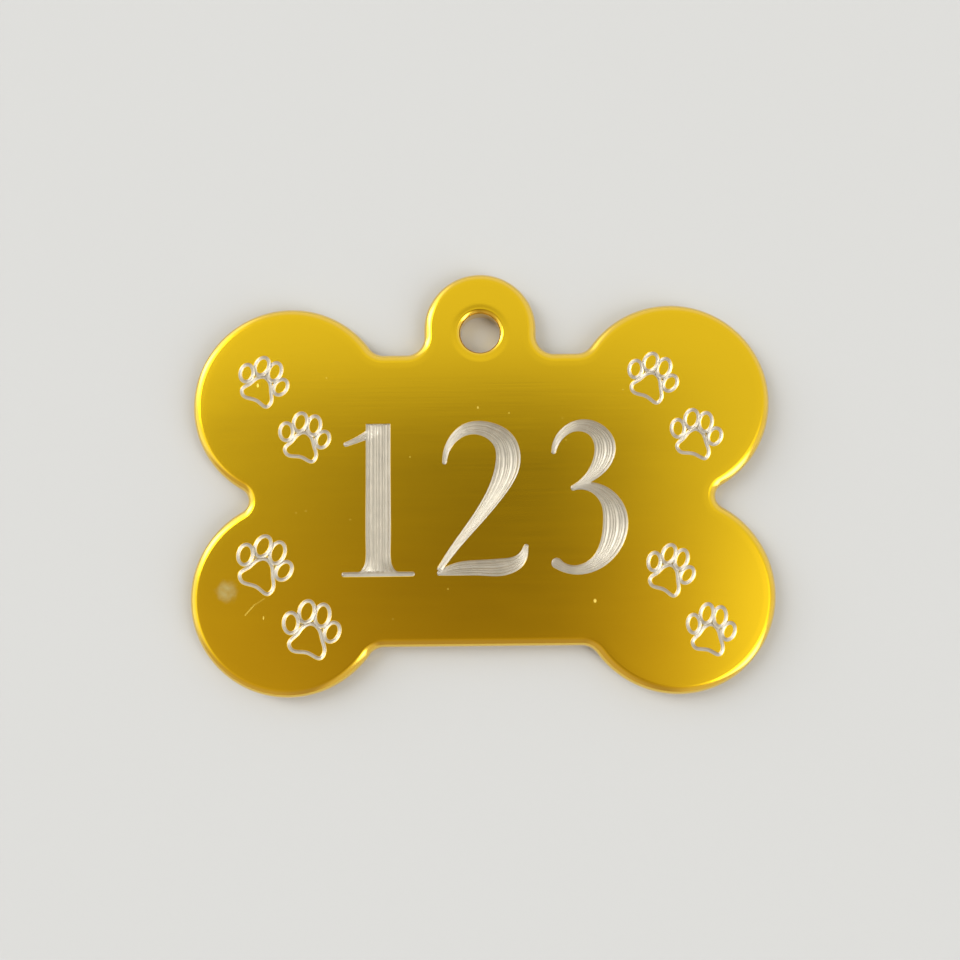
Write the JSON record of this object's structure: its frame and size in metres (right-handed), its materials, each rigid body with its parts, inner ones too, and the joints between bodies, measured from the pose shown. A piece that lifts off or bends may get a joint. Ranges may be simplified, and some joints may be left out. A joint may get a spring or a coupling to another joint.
{
  "type": "pet id tag",
  "caption": "Flat bone-shaped pet tag of gold anodised aluminium with a round eyelet tab, engraved paw prints and plain numerals.",
  "frame": {"origin": "under the middle of the tag's bounding box, on the surface that it lies on", "axes": "+Z out of the engraved front face, +Y towards the eyelet tab, +X to the right of the engraving"},
  "size_m": [0.038, 0.0278, 0.0015],
  "materials": {
    "bare_aluminium": "bright metal cut by an engraving tool",
    "gold_anodised": "gold dyed anodic film over metal brushed along X, satin"
  },
  "bodies": {
    "root": {"aluminium_core": "bare_aluminium", "front_film": "gold_anodised", "back_film": "gold_anodised", "edge_film": "gold_anodised", "hole_film": "gold_anodised"}
  },
  "joints": []
}
